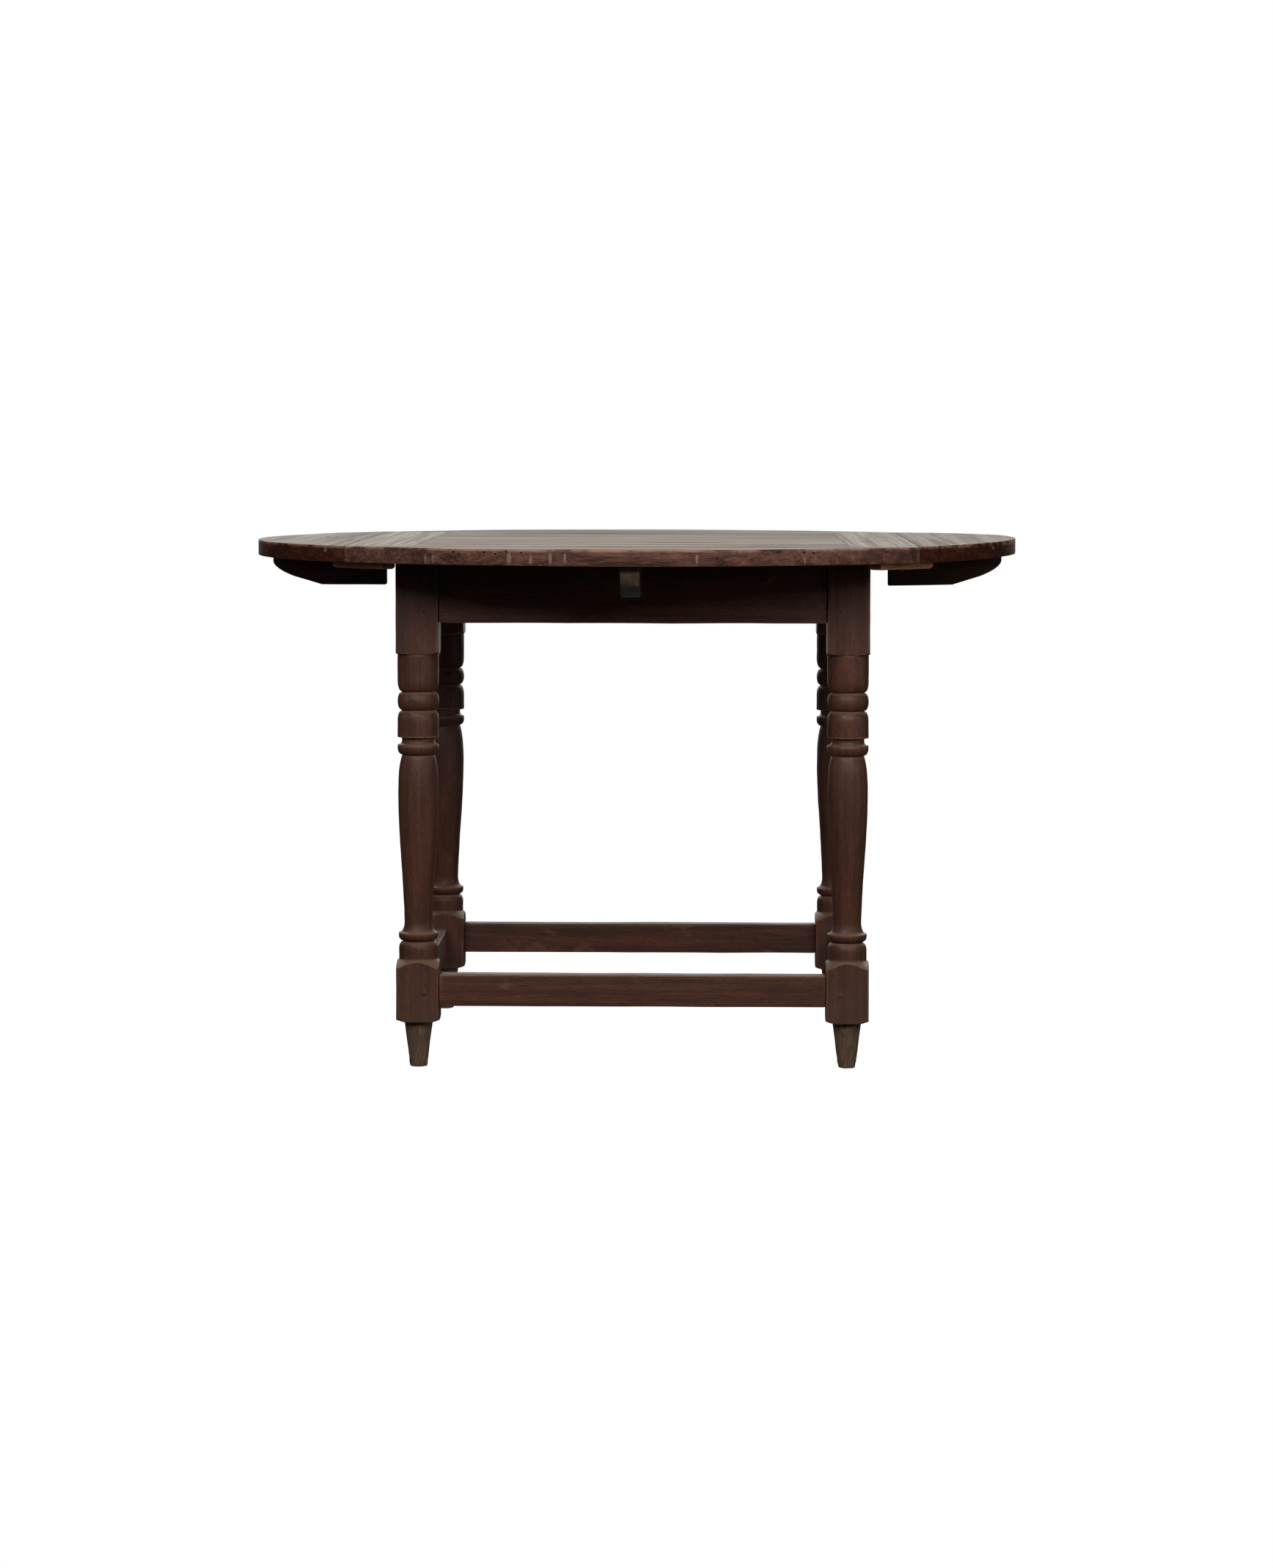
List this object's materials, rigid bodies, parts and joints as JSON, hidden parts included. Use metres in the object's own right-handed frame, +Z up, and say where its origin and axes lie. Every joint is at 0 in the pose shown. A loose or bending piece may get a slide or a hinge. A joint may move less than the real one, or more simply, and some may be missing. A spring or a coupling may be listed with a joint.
{
  "type": "round leaf table",
  "caption": "Round table: square fixed top ringed by pull-off D-shaped leaves on radial cleats, turned legs, deep aprons and a low box stretcher, all pegged.",
  "frame": {"origin": "on the floor, under the centre of the round top", "axes": "+Z up, +X to the right along the front apron, +Y from the front apron to the rear one"},
  "size_m": [1.14, 1.14, 0.75],
  "materials": {
    "top_timber": "worn grey-brown hardwood, dry and unpolished, with dark streaks",
    "end_board_timber": "paler worn hardwood, cross grain",
    "frame_timber": "dark red-brown hardwood, old oil finish, satin",
    "cleat_timber": "dark hardwood, unpolished",
    "bar_timber": "paler brown hardwood, unpolished",
    "peg_timber": "end-grain hardwood pegs",
    "screw_iron": "dull old iron"
  },
  "bodies": {
    "fixed_table": {"leg_front_left": "frame_timber", "long_apron_peg_front_left": "peg_timber", "side_apron_peg_front_left": "peg_timber", "long_stretcher_peg_front_left": "peg_timber", "side_stretcher_peg_front_left": "peg_timber", "pivot_screw_front_left": "screw_iron", "leg_front_right": "frame_timber", "long_apron_peg_front_right": "peg_timber", "side_apron_peg_front_right": "peg_timber", "long_stretcher_peg_front_right": "peg_timber", "side_stretcher_peg_front_right": "peg_timber", "pivot_screw_front_right": "screw_iron", "leg_rear_left": "frame_timber", "long_apron_peg_rear_left": "peg_timber", "side_apron_peg_rear_left": "peg_timber", "long_stretcher_peg_rear_left": "peg_timber", "side_stretcher_peg_rear_left": "peg_timber", "pivot_screw_rear_left": "screw_iron", "leg_rear_right": "frame_timber", "long_apron_peg_rear_right": "peg_timber", "side_apron_peg_rear_right": "peg_timber", "long_stretcher_peg_rear_right": "peg_timber", "side_stretcher_peg_rear_right": "peg_timber", "pivot_screw_rear_right": "screw_iron", "apron_front": "frame_timber", "stretcher_front": "frame_timber", "glue_block_front": "cleat_timber", "apron_rear": "frame_timber", "stretcher_rear": "frame_timber", "glue_block_rear": "cleat_timber", "apron_left": "frame_timber", "stretcher_left": "frame_timber", "glue_block_left": "cleat_timber", "apron_right": "frame_timber", "stretcher_right": "frame_timber", "glue_block_right": "cleat_timber", "end_board_left": "end_board_timber", "end_board_right": "end_board_timber", "centre_board_1": "top_timber", "centre_board_2": "top_timber", "centre_board_3": "top_timber", "centre_board_4": "top_timber"},
    "right_leaf": {"leaf_right": "top_timber", "cleat_right": "cleat_timber", "cleat_screw_right": "screw_iron"},
    "rear_leaf": {"leaf_rear": "top_timber", "cleat_rear": "cleat_timber", "cleat_screw_rear": "screw_iron"},
    "left_leaf": {"leaf_left": "top_timber", "cleat_left": "cleat_timber", "cleat_screw_left": "screw_iron"},
    "front_leaf": {"leaf_front": "top_timber", "cleat_front": "cleat_timber", "cleat_screw_front": "screw_iron"},
    "bar_front_left": {"corner_bar_front_left": "bar_timber"},
    "bar_front_right": {"corner_bar_front_right": "bar_timber"},
    "bar_rear_left": {"corner_bar_rear_left": "bar_timber"},
    "bar_rear_right": {"corner_bar_rear_right": "bar_timber"}
  },
  "joints": [
    {"name": "right_leaf_pull", "type": "slide", "parent": "fixed_table", "child": "right_leaf", "axis": [1, 0, 0], "range_m": [0, 0.15]},
    {"name": "rear_leaf_pull", "type": "slide", "parent": "fixed_table", "child": "rear_leaf", "axis": [0, 1, 0], "range_m": [0, 0.15]},
    {"name": "left_leaf_pull", "type": "slide", "parent": "fixed_table", "child": "left_leaf", "axis": [-1, 0, 0], "range_m": [0, 0.15]},
    {"name": "front_leaf_pull", "type": "slide", "parent": "fixed_table", "child": "front_leaf", "axis": [0, -1, 0], "range_m": [0, 0.15]},
    {"name": "bar_front_left_turn", "type": "hinge", "parent": "fixed_table", "child": "bar_front_left", "pos_m": [-0.37805, -0.37805, 0.722], "axis": [0, 0, 1], "range_deg": [-90, 90]},
    {"name": "bar_front_right_turn", "type": "hinge", "parent": "fixed_table", "child": "bar_front_right", "pos_m": [0.37805, -0.37805, 0.722], "axis": [0, 0, 1], "range_deg": [-90, 90]},
    {"name": "bar_rear_left_turn", "type": "hinge", "parent": "fixed_table", "child": "bar_rear_left", "pos_m": [-0.37805, 0.37805, 0.722], "axis": [0, 0, 1], "range_deg": [-90, 90]},
    {"name": "bar_rear_right_turn", "type": "hinge", "parent": "fixed_table", "child": "bar_rear_right", "pos_m": [0.37805, 0.37805, 0.722], "axis": [0, 0, 1], "range_deg": [-90, 90]}
  ]
}
